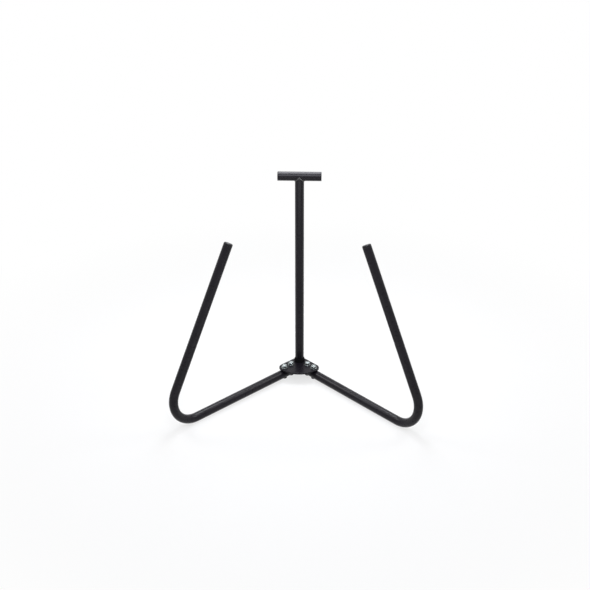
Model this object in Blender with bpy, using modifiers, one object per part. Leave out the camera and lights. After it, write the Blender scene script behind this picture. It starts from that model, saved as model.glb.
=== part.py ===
"""Boot washing stand: a T-handled post on a hub plate, with two bent tube arms bolted underneath.

Metres, +Z up. The floor is z = 0, the arms open towards -Y and the handle runs along X. The origin is the
centre of the stand's footprint.
"""

import math

import bmesh
import bpy
from mathutils import Vector

# Tube stock, shared by the post, the handle and the arms
TUBE_DIAMETER = 0.023
TUBE_WALL = 0.0015

# Post and handle
HANDLE_LENGTH = 0.110
HANDLE_HEIGHT = 0.565
HANDLE_WELD_RADIUS = 0.0020
HANDLE_WELD_DROP = 0.001
POST_WELD_HEIGHT = 0.012
POST_WELD_FOOT = 0.0024
POST_WELD_CROWN = 0.4

# Arms: the angle is measured from the front, the reach from the post's axis to the bend's lowest point
ARM_ANGLE = math.radians(45)
ARM_REACH = 0.357
ARM_END_GAP = 0.0045
BEND_RADIUS = 0.069
UPRIGHT_LEAN = math.radians(28)
UPRIGHT_LENGTH = 0.390

# Hub plate: the margins are the plate left outside the post's weld and beyond the outer washers
PLATE_THICKNESS = 0.005
PLATE_WELD_MARGIN = 0.0038
PLATE_WASHER_MARGIN = 0.0045
PLATE_FRONT_BOW = 0.0135
PLATE_EDGE_BEVEL = 0.0007

# Bolts, washers and nuts
BOLT_DIAMETER = 0.008
BOLT_PITCH = 0.024
BOLT_STANDS_PROUD = 0.0015
BOLT_TIP_CHAMFER = 0.001
HEAD_DIAMETER = 0.013
HEAD_HEIGHT = 0.0025
HEAD_EDGE_HEIGHT = 0.001
HEAD_FLAT_DIAMETER = 0.0092
SOCKET_ACROSS_FLATS = 0.005
SOCKET_DEPTH = 0.0016
WASHER_DIAMETER = 0.016
WASHER_THICKNESS = 0.0016
WASHER_WELD_GAP = 0.0088
NUT_ACROSS_FLATS = 0.013
NUT_HEIGHT = 0.0050
NUT_CHAMFER_ANGLE = math.radians(30)

# Plastic plugs in the handle and caps on the uprights
PLUG_HEAD_HEIGHT = 0.002
PLUG_EDGE_RADIUS = 0.0008
CAP_HEAD_HEIGHT = 0.006
CAP_EDGE_RADIUS = 0.0035
STEM_LENGTH = 0.014
STEM_WALL = 0.0014
RIB_DEPTH = 0.0006
RIB_PITCH = 0.0056

# Clearances: between faces that touch, and round a bolt in its hole
FIT_GAP = 0.0003
HOLE_CLEARANCE = 0.0005

# Facets
TUBE_BEVEL_RESOLUTION = 8
BORE_BEVEL_RESOLUTION = 6
BEAD_BEVEL_RESOLUTION = 2
BEAD_STEPS = 36
BEND_STEPS = 16
TURNED_STEPS = 24
CUTTER_STEPS = 40
EDGE_STEPS = 4
CORNER_STEPS = 14
CUTTER_OVERRUN = 0.005
MERGE_DISTANCE = 1e-6
SMOOTH_ANGLE = math.radians(35)
BEVEL_ANGLE = math.radians(60)

# Sizes that follow from those above
TUBE_RADIUS = TUBE_DIAMETER / 2
BORE_RADIUS = TUBE_RADIUS - TUBE_WALL
BOLT_RADIUS = BOLT_DIAMETER / 2
HOLE_RADIUS = BOLT_RADIUS + HOLE_CLEARANCE
ARM_INNER_END = TUBE_RADIUS / math.tan(ARM_ANGLE) + ARM_END_GAP
POST_WELD_RADIUS = TUBE_RADIUS + FIT_GAP + POST_WELD_FOOT
BOLT_INNER = POST_WELD_RADIUS + WASHER_WELD_GAP + WASHER_DIAMETER / 2
BOLT_OUTER = BOLT_INNER + BOLT_PITCH
BOLT_PLACES = {"inner": BOLT_INNER, "outer": BOLT_OUTER}
PLATE_CORNER_RADIUS = POST_WELD_RADIUS + PLATE_WELD_MARGIN
PLATE_LOBE_REACH = BOLT_OUTER + WASHER_DIAMETER / 2 + PLATE_WASHER_MARGIN - PLATE_CORNER_RADIUS
HEAD_OUTER_EDGE = BOLT_OUTER + HEAD_DIAMETER / 2


def arm_fall():
    """Angle at which an arm falls outwards, so that bolt heads and bend stand on the floor together.

    The tube's underside clears the outer bolt head by the fit gap and touches the bend's outer circle,
    which touches the floor.
    """
    outer_radius = BEND_RADIUS + TUBE_RADIUS
    across = ARM_REACH - HEAD_OUTER_EDGE
    down = outer_radius - HEAD_HEIGHT - FIT_GAP
    return math.atan2(across, down) - math.acos(outer_radius / math.hypot(across, down))


ARM_FALL = arm_fall()
ARM_RISE = (HEAD_OUTER_EDGE - ARM_INNER_END) * math.tan(ARM_FALL)
PLATE_BOTTOM = HEAD_HEIGHT + FIT_GAP + TUBE_DIAMETER / math.cos(ARM_FALL) + ARM_RISE + FIT_GAP
PLATE_TOP = PLATE_BOTTOM + PLATE_THICKNESS
WASHER_BOTTOM = PLATE_TOP + FIT_GAP
NUT_BOTTOM = WASHER_BOTTOM + WASHER_THICKNESS + FIT_GAP
BOLT_TIP = NUT_BOTTOM + NUT_HEIGHT + BOLT_STANDS_PROUD
FRONT_REACH = (ARM_REACH + BEND_RADIUS) * math.cos(ARM_ANGLE) + TUBE_RADIUS
POST_Y = (FRONT_REACH - PLATE_CORNER_RADIUS) / 2

# Finishes as (red, green, blue), roughness, metallic
BLACK_COAT = ((0.022, 0.021, 0.023), 0.42, 0.0)
COATED_WELD = ((0.016, 0.016, 0.018), 0.55, 0.0)
ZINC = ((0.62, 0.64, 0.65), 0.28, 1.0)
BLACK_PLASTIC = ((0.018, 0.018, 0.019), 0.5, 0.0)

SIDES = {"left": -1, "right": 1}
PARTS = bpy.data.collections.new("boot_washing_stand")
CUTTERS = bpy.data.collections.new("cutters")


def prepare_scene():
    """An empty scene with one collection for the pieces and one for the cutters."""
    for old in list(bpy.data.objects):
        bpy.data.objects.remove(old)
    for collection in (PARTS, CUTTERS):
        bpy.context.scene.collection.children.link(collection)


def new_object(name, data, collection, parent=None, location=(0, 0, 0), rotation=(0, 0, 0)):
    """An object in its collection, placed in its parent's frame."""
    obj = bpy.data.objects.new(name, data)
    collection.objects.link(obj)
    obj.parent = parent
    obj.location = location
    obj.rotation_euler = rotation
    return obj


def give_finish(obj, finish):
    """A material of the piece's own, with its colour, roughness and metallic value."""
    colour, roughness, metallic = finish
    material = bpy.data.materials.new(obj.name)
    material.use_nodes = True
    shader = material.node_tree.nodes["Principled BSDF"]
    shader.inputs["Base Color"].default_value = (*colour, 1)
    shader.inputs["Roughness"].default_value = roughness
    shader.inputs["Metallic"].default_value = metallic
    obj.material_slots[0].link = "OBJECT"
    obj.material_slots[0].material = material


def add_part(name, mesh, finish, parent, location=(0, 0, 0), rotation=(0, 0, 0)):
    """One named piece of the stand."""
    if not mesh.materials:
        mesh.materials.append(None)
    obj = new_object(name, mesh, PARTS, parent, location, rotation)
    give_finish(obj, finish)
    return obj


def add_cutter(name, mesh, parent, location=(0, 0, 0), rotation=(0, 0, 0)):
    """A body that only cuts others."""
    obj = new_object(name, mesh, CUTTERS, parent, location, rotation)
    obj.hide_render = True
    obj.display_type = "WIRE"
    return obj


def cut(obj, cutter, operation="DIFFERENCE"):
    """Cuts a piece with another body, or keeps only what they share."""
    modifier = obj.modifiers.new(cutter.name, "BOOLEAN")
    modifier.operation = operation
    modifier.object = cutter
    modifier.solver = "EXACT"


def welded_mesh(obj):
    """The evaluated shape of a helper object as a closed, smooth-shaded mesh. The helper is removed."""
    bpy.context.view_layer.update()
    evaluated = obj.evaluated_get(bpy.context.evaluated_depsgraph_get())
    mesh = bpy.data.meshes.new_from_object(evaluated)
    mesh.name = obj.name
    bpy.data.objects.remove(obj)
    body = bmesh.new()
    body.from_mesh(mesh)
    bmesh.ops.remove_doubles(body, verts=body.verts, dist=MERGE_DISTANCE)
    bmesh.ops.recalc_face_normals(body, faces=body.faces)
    body.to_mesh(mesh)
    body.free()
    mesh.shade_smooth()
    mesh.set_sharp_from_angle(angle=SMOOTH_ANGLE)
    return mesh


def swept_mesh(name, points, radius, resolution=TUBE_BEVEL_RESOLUTION, closed=False):
    """A round bar of one radius along a path."""
    curve = bpy.data.curves.new(name, "CURVE")
    curve.dimensions = "3D"
    curve.bevel_depth = radius
    curve.bevel_resolution = resolution
    curve.use_fill_caps = not closed
    spline = curve.splines.new("POLY")
    spline.points.add(len(points) - 1)
    spline.use_cyclic_u = closed
    for place, point in zip(spline.points, points):
        place.co = (*point, 1)
    return welded_mesh(new_object(name, curve, CUTTERS))


def turned_mesh(name, profile, closed=False):
    """A body turned about Z from (radius, height) points that run down its outer side."""
    mesh = bpy.data.meshes.new(name)
    ends = [(i, i + 1) for i in range(len(profile) - 1)]
    if closed:
        ends.append((len(profile) - 1, 0))
    mesh.from_pydata([(radius, 0, height) for radius, height in profile], ends, [])
    helper = new_object(name, mesh, CUTTERS)
    screw = helper.modifiers.new("turn", "SCREW")
    screw.steps = TURNED_STEPS
    screw.render_steps = TURNED_STEPS
    screw.use_merge_vertices = True
    screw.merge_threshold = MERGE_DISTANCE
    return welded_mesh(helper)


def prism_mesh(name, radius, depth, sides):
    """A right prism about Z, centred on its middle; with many sides, a plain cylinder."""
    mesh = bpy.data.meshes.new(name)
    body = bmesh.new()
    bmesh.ops.create_cone(
        body, cap_ends=True, segments=sides, radius1=radius, radius2=radius, depth=depth
    )
    body.to_mesh(mesh)
    body.free()
    return mesh


def arc_points(centre, radius, first, last, steps):
    """Points of an arc from one angle to another, both ends included."""
    turns = [first + (last - first) * i / steps for i in range(steps + 1)]
    return [(centre[0] + radius * math.cos(t), centre[1] + radius * math.sin(t)) for t in turns]


def lengthened(points, by):
    """A path with both ends carried on straight."""
    first = points[0] + (points[0] - points[1]).normalized() * by
    last = points[-1] + (points[-1] - points[-2]).normalized() * by
    return [first, *points, last]


def add_tube(name, points, finish, parent):
    """A hollow tube along a path, open at both ends."""
    tube = add_part(name, swept_mesh(name, points, TUBE_RADIUS), finish, parent)
    bore_points = lengthened(points, CUTTER_OVERRUN)
    bore = swept_mesh(name + "_bore", bore_points, BORE_RADIUS, BORE_BEVEL_RESOLUTION)
    cut(tube, add_cutter(name + "_bore", bore, parent))
    return tube


def plug_mesh(name, head_height, edge_radius):
    """A moulded plug about Z: a head as wide as the tube above z = 0, and a ribbed hollow stem below."""
    stem_radius = BORE_RADIUS - FIT_GAP
    core_radius = stem_radius - RIB_DEPTH
    edge_centre = (TUBE_RADIUS - edge_radius, head_height - edge_radius)
    profile = [(0, head_height)]
    profile += arc_points(edge_centre, edge_radius, math.pi / 2, 0, EDGE_STEPS)
    profile += [(TUBE_RADIUS, 0), (core_radius, 0)]
    for i in range(int(STEM_LENGTH / RIB_PITCH)):
        foot = -RIB_PITCH * (i + 1)
        top = foot + RIB_PITCH / 2
        profile += [(core_radius, top), (stem_radius, top), (core_radius, foot)]
    hollow_radius = core_radius - STEM_WALL
    profile += [(core_radius, -STEM_LENGTH), (hollow_radius, -STEM_LENGTH), (hollow_radius, 0), (0, 0)]
    return turned_mesh(name, profile)


def plate_outline():
    """Rounded triangle: equal corners at the post and over each arm, with a bowed front edge."""
    lobe_x = PLATE_LOBE_REACH * math.sin(ARM_ANGLE)
    lobe_y = -PLATE_LOBE_REACH * math.cos(ARM_ANGLE)
    bow_radius = (lobe_x**2 + PLATE_FRONT_BOW**2) / (2 * PLATE_FRONT_BOW)
    bow_half = math.asin(lobe_x / bow_radius)
    bow_centre = (0, lobe_y - PLATE_FRONT_BOW + bow_radius)
    front = 3 * math.pi / 2
    corner = PLATE_CORNER_RADIUS
    outline = arc_points((0, 0), corner, ARM_ANGLE, math.pi - ARM_ANGLE, CORNER_STEPS)
    left_lobe = (math.pi - ARM_ANGLE, front - bow_half)
    outline += arc_points((-lobe_x, lobe_y), corner, *left_lobe, CORNER_STEPS)
    bow = arc_points(bow_centre, bow_radius + corner, front - bow_half, front + bow_half, CORNER_STEPS)
    outline += bow[1:-1]
    right_lobe = (front + bow_half, 2 * math.pi + ARM_ANGLE)
    outline += arc_points((lobe_x, lobe_y), corner, *right_lobe, CORNER_STEPS)
    return outline


def add_hub_plate(parent):
    """The plate that the post is welded to and the arms are bolted under."""
    curve = bpy.data.curves.new("hub_plate", "CURVE")
    curve.dimensions = "2D"
    curve.fill_mode = "BOTH"
    curve.extrude = PLATE_THICKNESS / 2
    outline = plate_outline()
    spline = curve.splines.new("POLY")
    spline.points.add(len(outline) - 1)
    spline.use_cyclic_u = True
    for place, (x, y) in zip(spline.points, outline):
        place.co = (x, y, 0, 1)
    mesh = welded_mesh(new_object("hub_plate", curve, CUTTERS))
    plate = add_part("hub_plate", mesh, BLACK_COAT, parent, (0, 0, PLATE_BOTTOM + PLATE_THICKNESS / 2))
    edges = plate.modifiers.new("edges", "BEVEL")
    edges.width = PLATE_EDGE_BEVEL
    edges.segments = 1
    edges.limit_method = "ANGLE"
    edges.angle_limit = BEVEL_ANGLE
    return plate


def add_post(parent):
    """The post, coped at its top to the handle's round underside, and the bead round its foot."""
    points = [Vector((0, 0, PLATE_TOP + FIT_GAP)), Vector((0, 0, HANDLE_HEIGHT))]
    post = add_tube("post_tube", points, BLACK_COAT, parent)
    cope_length = TUBE_DIAMETER + 2 * CUTTER_OVERRUN
    cope = prism_mesh("post_cope", TUBE_RADIUS + FIT_GAP, cope_length, CUTTER_STEPS)
    cut(post, add_cutter("post_cope", cope, parent, (0, 0, HANDLE_HEIGHT), (0, math.pi / 2, 0)))

    add_part("post_weld", post_weld_mesh(), COATED_WELD, parent, (0, 0, PLATE_TOP + FIT_GAP))


def post_weld_mesh():
    """A fillet bead round the post: its face lies between a straight slope and a full quarter oval."""
    inner = TUBE_RADIUS + FIT_GAP
    bead = []
    for i in range(EDGE_STEPS + 1):
        share = i / EDGE_STEPS
        turn = share * math.pi / 2
        out = (1 - POST_WELD_CROWN) * share + POST_WELD_CROWN * math.sin(turn)
        up = (1 - POST_WELD_CROWN) * (1 - share) + POST_WELD_CROWN * math.cos(turn)
        bead.append((inner + POST_WELD_FOOT * out, POST_WELD_HEIGHT * up))
    bead.append((inner, 0))
    return turned_mesh("post_weld", bead, closed=True)


def add_handle(parent):
    """The cross tube with its two plugs, and the bead round its saddle joint with the post."""
    plug_face = HANDLE_LENGTH / 2 - PLUG_HEAD_HEIGHT
    tube_end = plug_face - FIT_GAP
    points = [Vector((-tube_end, 0, HANDLE_HEIGHT)), Vector((tube_end, 0, HANDLE_HEIGHT))]
    add_tube("handle_tube", points, BLACK_COAT, parent)
    plug = plug_mesh("handle_plug", PLUG_HEAD_HEIGHT, PLUG_EDGE_RADIUS)
    for side, sign in SIDES.items():
        place = (sign * plug_face, 0, HANDLE_HEIGHT)
        add_part(side + "_handle_plug", plug, BLACK_PLASTIC, parent, place, (0, sign * math.pi / 2, 0))

    saddle = []
    for i in range(BEAD_STEPS):
        turn = 2 * math.pi * i / BEAD_STEPS
        x = TUBE_RADIUS * math.cos(turn)
        y = TUBE_RADIUS * math.sin(turn)
        below = math.sqrt((TUBE_RADIUS + HANDLE_WELD_DROP) ** 2 - y**2)
        saddle.append((x, y, HANDLE_HEIGHT - below))
    bead = swept_mesh("handle_weld", saddle, HANDLE_WELD_RADIUS, BEAD_BEVEL_RESOLUTION, closed=True)
    weld = add_part("handle_weld", bead, COATED_WELD, parent)
    room_length = 4 * TUBE_DIAMETER
    room = prism_mesh("handle_weld_room", TUBE_RADIUS + FIT_GAP, room_length, CUTTER_STEPS)
    along_post = (0, 0, HANDLE_HEIGHT - room_length / 2)
    cut(weld, add_cutter("handle_weld_post_room", room, parent, along_post))
    along_handle = (0, math.pi / 2, 0)
    cut(weld, add_cutter("handle_weld_handle_room", room, parent, (0, 0, HANDLE_HEIGHT), along_handle))


def arm_path():
    """Centre line of an arm in its own frame: the run out along X, the bend, and the upright."""
    centre = Vector((ARM_REACH, 0, BEND_RADIUS + TUBE_RADIUS))
    last_turn = math.pi / 2 + UPRIGHT_LEAN
    points = []
    for i in range(BEND_STEPS + 1):
        turn = -ARM_FALL + (last_turn + ARM_FALL) * i / BEND_STEPS
        points.append(centre + BEND_RADIUS * Vector((math.sin(turn), 0, -math.cos(turn))))
    out_along_run = Vector((math.cos(ARM_FALL), 0, -math.sin(ARM_FALL)))
    run_length = (points[0].x - ARM_INNER_END) / math.cos(ARM_FALL)
    up_along_tube = upright_direction()
    tube_length = UPRIGHT_LENGTH - CAP_HEAD_HEIGHT - FIT_GAP
    return [points[0] - out_along_run * run_length, *points, points[-1] + up_along_tube * tube_length]


def upright_direction():
    """Direction of an upright in its arm's frame: up, leaning back towards the post."""
    return Vector((-math.sin(UPRIGHT_LEAN), 0, math.cos(UPRIGHT_LEAN)))


def add_arm(side, plate, parent):
    """One arm tube, bolt holes through it and the plate, and the cap on its upright."""
    points = arm_path()
    arm = add_tube(side + "_arm_tube", points, BLACK_COAT, parent)
    add_bolt_holes(arm, plate, side, parent)
    cap_base = points[-1] + upright_direction() * FIT_GAP
    cap = plug_mesh(side + "_upright_cap", CAP_HEAD_HEIGHT, CAP_EDGE_RADIUS)
    add_part(side + "_upright_cap", cap, BLACK_PLASTIC, parent, cap_base, (0, -UPRIGHT_LEAN, 0))


def add_bolt_holes(arm, plate, side, parent):
    """Two drilled holes, right through the arm tube and the plate above it."""
    depth = PLATE_TOP + 2 * CUTTER_OVERRUN
    drill = prism_mesh("bolt_hole", HOLE_RADIUS, depth, TURNED_STEPS)
    half_facet = math.pi / TURNED_STEPS
    for place, along in BOLT_PLACES.items():
        middle = (along, 0, PLATE_TOP / 2)
        hole = add_cutter(f"{side}_{place}_hole", drill, parent, middle, (0, 0, half_facet))
        cut(arm, hole)
        cut(plate, hole)


def bolt_mesh():
    """A low domed head, flat on the floor, with a plain shank up to a chamfered tip."""
    flat = HEAD_FLAT_DIAMETER / 2
    dome_width = HEAD_DIAMETER / 2 - flat
    dome_height = HEAD_HEIGHT - HEAD_EDGE_HEIGHT
    profile = [
        (0, BOLT_TIP),
        (BOLT_RADIUS - BOLT_TIP_CHAMFER, BOLT_TIP),
        (BOLT_RADIUS, BOLT_TIP - BOLT_TIP_CHAMFER),
        (BOLT_RADIUS, HEAD_HEIGHT),
        (HEAD_DIAMETER / 2, HEAD_HEIGHT),
    ]
    for i in range(EDGE_STEPS + 1):
        turn = i / EDGE_STEPS * math.pi / 2
        profile.append((flat + dome_width * math.cos(turn), dome_height * (1 - math.sin(turn))))
    profile.append((0, 0))
    return turned_mesh("bolt", profile)


def nut_rounding_mesh():
    """A turned ring with the nut's bore and its chamfers, which trims a hexagon to a nut."""
    corner = NUT_ACROSS_FLATS / math.sqrt(3)
    flat = NUT_ACROSS_FLATS / 2
    chamfer = (corner - flat) * math.tan(NUT_CHAMFER_ANGLE)
    bore = BOLT_RADIUS + FIT_GAP
    outside = corner + FIT_GAP
    profile = [
        (flat, NUT_HEIGHT),
        (outside, NUT_HEIGHT - chamfer),
        (outside, chamfer),
        (flat, 0),
        (bore, 0),
        (bore, NUT_HEIGHT),
    ]
    return turned_mesh("nut_rounding", profile, closed=True)


def washer_mesh():
    """A flat ring round the bolt."""
    outer = WASHER_DIAMETER / 2
    profile = [(outer, WASHER_THICKNESS), (outer, 0), (HOLE_RADIUS, 0), (HOLE_RADIUS, WASHER_THICKNESS)]
    return turned_mesh("washer", profile, closed=True)


def add_fasteners(side, parent):
    """Two bolts up through the arm and the plate, each with its washer and nut on top."""
    bolt = bolt_mesh()
    socket = prism_mesh("socket", SOCKET_ACROSS_FLATS / math.sqrt(3), 2 * SOCKET_DEPTH, 6)
    washer = washer_mesh()
    hexagon = prism_mesh("nut", NUT_ACROSS_FLATS / math.sqrt(3), NUT_HEIGHT + 2 * FIT_GAP, 6)
    rounding = nut_rounding_mesh()
    for place, along in BOLT_PLACES.items():
        name = f"{side}_{place}"
        shank = add_part(name + "_bolt", bolt, ZINC, parent, (along, 0, 0))
        cut(shank, add_cutter(name + "_socket", socket, parent, (along, 0, 0)))
        add_part(name + "_washer", washer, ZINC, parent, (along, 0, WASHER_BOTTOM))
        nut = add_part(name + "_nut", hexagon, ZINC, parent, (along, 0, NUT_BOTTOM + NUT_HEIGHT / 2))
        trim = add_cutter(name + "_nut_rounding", rounding, parent, (along, 0, NUT_BOTTOM))
        cut(nut, trim, "INTERSECT")


def main():
    """Builds the stand about the post's axis, with each arm in a frame that points along it."""
    prepare_scene()
    post_axis = new_object("post_axis", None, PARTS, location=(0, POST_Y, 0))
    plate = add_hub_plate(post_axis)
    add_post(post_axis)
    add_handle(post_axis)
    for side, sign in SIDES.items():
        heading = (0, 0, sign * ARM_ANGLE - math.pi / 2)
        arm_frame = new_object(side + "_arm_frame", None, PARTS, post_axis, rotation=heading)
        add_arm(side, plate, arm_frame)
        add_fasteners(side, arm_frame)


if __name__ == "__main__":
    main()
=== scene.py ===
"""Looks of a boot washing stand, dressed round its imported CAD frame.

Every tube, weld, plate and fastener is a surface worked out with numpy in the CAD's own frame: metres, +Z up,
the floor at z = 0, the arms opening towards -Y and the handle along X.
"""

import logging
import math
from collections.abc import Callable
from dataclasses import dataclass, field
from enum import Enum
from functools import cached_property, partial
from typing import NamedTuple

import bmesh
import bpy
import numpy as np
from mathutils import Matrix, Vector
from mathutils.geometry import tessellate_polygon


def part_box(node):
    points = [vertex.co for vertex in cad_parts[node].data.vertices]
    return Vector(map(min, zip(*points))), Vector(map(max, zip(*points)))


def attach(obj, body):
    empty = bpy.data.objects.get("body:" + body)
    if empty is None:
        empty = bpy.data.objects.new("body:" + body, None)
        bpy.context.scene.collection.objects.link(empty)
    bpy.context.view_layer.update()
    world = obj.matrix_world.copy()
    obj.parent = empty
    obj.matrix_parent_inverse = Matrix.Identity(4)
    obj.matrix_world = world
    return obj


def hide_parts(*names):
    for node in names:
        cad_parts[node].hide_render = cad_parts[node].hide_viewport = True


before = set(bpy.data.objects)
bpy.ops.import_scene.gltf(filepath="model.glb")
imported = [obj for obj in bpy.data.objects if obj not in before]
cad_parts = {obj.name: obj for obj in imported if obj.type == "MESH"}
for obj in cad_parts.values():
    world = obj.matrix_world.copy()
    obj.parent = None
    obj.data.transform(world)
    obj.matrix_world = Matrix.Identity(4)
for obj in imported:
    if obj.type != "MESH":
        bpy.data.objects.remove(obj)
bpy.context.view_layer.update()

Array = np.ndarray
Socket = bpy.types.NodeSocket
Piece = bpy.types.Object
Pair = tuple[float, float]
Triple = tuple[float, float, float]
Colour = Triple
Value = Socket | float | Triple
Spine = Callable[[Array], tuple[Array, Array, Array]]

LOG = logging.getLogger("boot_washing_stand")
BODY = "root"
FRAME_PIXELS = 590
QUARTER = math.pi / 2
FULL_TURN = 2 * math.pi
ALONG_X = np.array([1.0, 0.0, 0.0])
UP = np.array([0.0, 0.0, 1.0])
PLAN = np.array([1.0, 1.0, 0.0])
UNIT = (0.0, 1.0)
WHITE = (1.0, 1.0, 1.0)
MERGE_DISTANCE = 2e-6
SHARP_ANGLE = 40.0
# Point mark: real wear on rubbed lips and edges, painted shade and highlight on weld scales and bolt heads
WEAR_AND_SHADE_MARK = "wear_and_shade"

# Sizes that several sub-assemblies share
TUBE_RADIUS = 0.0115
BORE_RADIUS = 0.0100
ARM_ANGLE = math.radians(45)
BOLT_HOLE_RADIUS = 0.0045
HEAD_HEIGHT = 0.0025
FIT_GAP = 0.0003
INNER_WALL_STEP = 4

# Waves of an unsteady hand along a weld: share, count in one turn, start
HAND_DRIFT = ((0.35, 3, 0.7), (0.22, 7, 2.1))
HAND_SWELL = ((0.45, 2, 0.4), (0.35, 5, 1.9), (0.2, 11, 4.0))
SCALE_SKEW = 0.7


class Slot(Enum):
    """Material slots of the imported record."""

    COAT = "black_coat"
    WELD = "coated_weld"
    ZINC = "zinc_plate"
    PLASTIC = "black_plastic"


class Side(Enum):
    """The stand's two sides, by the sign of X."""

    LEFT = -1
    RIGHT = 1

    @property
    def word(self) -> str:
        """The side's name as the CAD nodes spell it."""
        return self.name.lower()


class Place(Enum):
    """The two bolts of an arm, counted from the post."""

    INNER = "inner"
    OUTER = "outer"


# How far each nut happens to be turned, in degrees
NUT_TURNS = {
    (Side.LEFT, Place.INNER): 9.0,
    (Side.LEFT, Place.OUTER): -16.0,
    (Side.RIGHT, Place.INNER): 24.0,
    (Side.RIGHT, Place.OUTER): 2.0,
}


def turns(count: int) -> Array:
    """Angles of one full turn in equal steps, with the closing angle left out."""
    return np.arange(count) * (FULL_TURN / count)


def unit(vectors: Array) -> Array:
    """Vectors divided by their own lengths."""
    return vectors / np.linalg.norm(vectors, axis=-1, keepdims=True)


def directions(angle: Array) -> Array:
    """Directions (cos, sin) of angles in plan."""
    return np.stack([np.cos(angle), np.sin(angle)], axis=-1)


def raised(plan: Array, level: Array | float) -> Array:
    """Points (x, y, level) over points (x, y) in plan."""
    return np.concatenate([plan, level + 0 * plan[..., :1]], axis=-1)


def polar(distance: Array, angle: Array, height: Array) -> Array:
    """Points (distance cos angle, distance sin angle, height) of the broadcast shape."""
    return raised(distance[..., None] * directions(angle), height[..., None])


def turned(profile: Array, columns: int) -> Array:
    """Grid of a profile of points (distance from axis, height), turned about Z in so many columns."""
    return polar(profile[:, :1], turns(columns), profile[:, 1:])


def ringed(values: list[float], angle: Array) -> Array:
    """Rows that keep one value each at every angle."""
    return np.array(values)[:, None] + 0 * angle


def middle_of(node: str) -> Array:
    """Middle of a CAD node's box, half the sum of its lowest and highest corner."""
    low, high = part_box(node)
    return np.array((low + high) / 2)


def quarter_round(radius: float, steps: int) -> tuple[Array, Array]:
    """A quarter round's distances inside its two flanks, radius * (1 - cos) and radius * (1 - sin)."""
    swing = np.linspace(0.0, QUARTER, steps + 1)
    return radius * (1 - np.cos(swing)), radius * (1 - np.sin(swing))


def stood(points: Array, base: Array, axis: Array) -> Array:
    """Points about Z set on a base, Z along an axis other than Y: base + x across + y third + z axis."""
    across = unit(np.cross((0.0, 1.0, 0.0), axis))
    return base + points @ np.stack([across, np.cross(axis, across), axis])


def soft_hexagon(angle: Array, across_flats: float, crispness: float = 60.0) -> Array:
    """Distance to a hexagon's outline: 1 over a high power norm of cos(angle to a flat) / half the width."""
    facing = np.clip(np.cos(angle[..., None] - turns(6)), 0.0, None) / (across_flats / 2)
    return 1 / np.linalg.norm(facing, crispness, axis=-1)


def rounded(corners: list[Triple], steps: int = 5) -> Array:
    """Profile through corner points, each inner corner rounded by its own radius.

    An arc touches both edges of a corner at rounding / tan(half angle) from it, and runs between the two
    directions from the arc's centre by spherical interpolation.

    Args:
        corners: (distance from axis, height, rounding radius) for each corner; the two ends stay sharp.
        steps: Points on each arc, less one.

    Returns:
        Profile points, shape (n, 2).
    """
    points = np.array([corner[:2] for corner in corners])
    share = np.linspace(0.0, 1.0, steps + 1)[:, None]
    profile = [points[:1]]
    for before, here, after, (_, _, radius) in zip(points, points[1:], points[2:], corners[1:]):
        if radius <= 0:
            profile.append(here[None])
            continue
        back, ahead = unit(before - here), unit(after - here)
        half = math.acos(float(np.clip(back @ ahead, -1, 1))) / 2
        centre = here + unit(back + ahead) * radius / math.sin(half)
        first, last = ((here + way * radius / math.tan(half) - centre) / radius for way in (back, ahead))
        swing = math.pi - 2 * half
        arc = (np.sin((1 - share) * swing) * first + np.sin(share * swing) * last) / math.sin(swing)
        profile.append(centre + radius * arc)
    return np.concatenate([*profile, points[-1:]])


def hand_waves(turn: Array, waves: tuple[Triple, ...]) -> Array:
    """Sum of share * sin(count * turn + start) over a hand's waves, about -1 to 1."""
    return sum(share * np.sin(count * turn + start) for share, count, start in waves)


def bead_scales(turn: Array, across: Array, count: int, bow: float) -> Array:
    """Weld scales from 0 to 1: a skewed sine of the drifting turn, lagging by the way across squared."""
    phase = count * turn + FULL_TURN * (hand_waves(turn, HAND_DRIFT) - bow * across**2)
    return 0.5 + 0.5 * np.sin(phase + SCALE_SKEW * np.sin(phase))


def placed(piece: Piece) -> Piece:
    """Links a new object into the scene."""
    bpy.context.scene.collection.objects.link(piece)
    return piece


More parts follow.
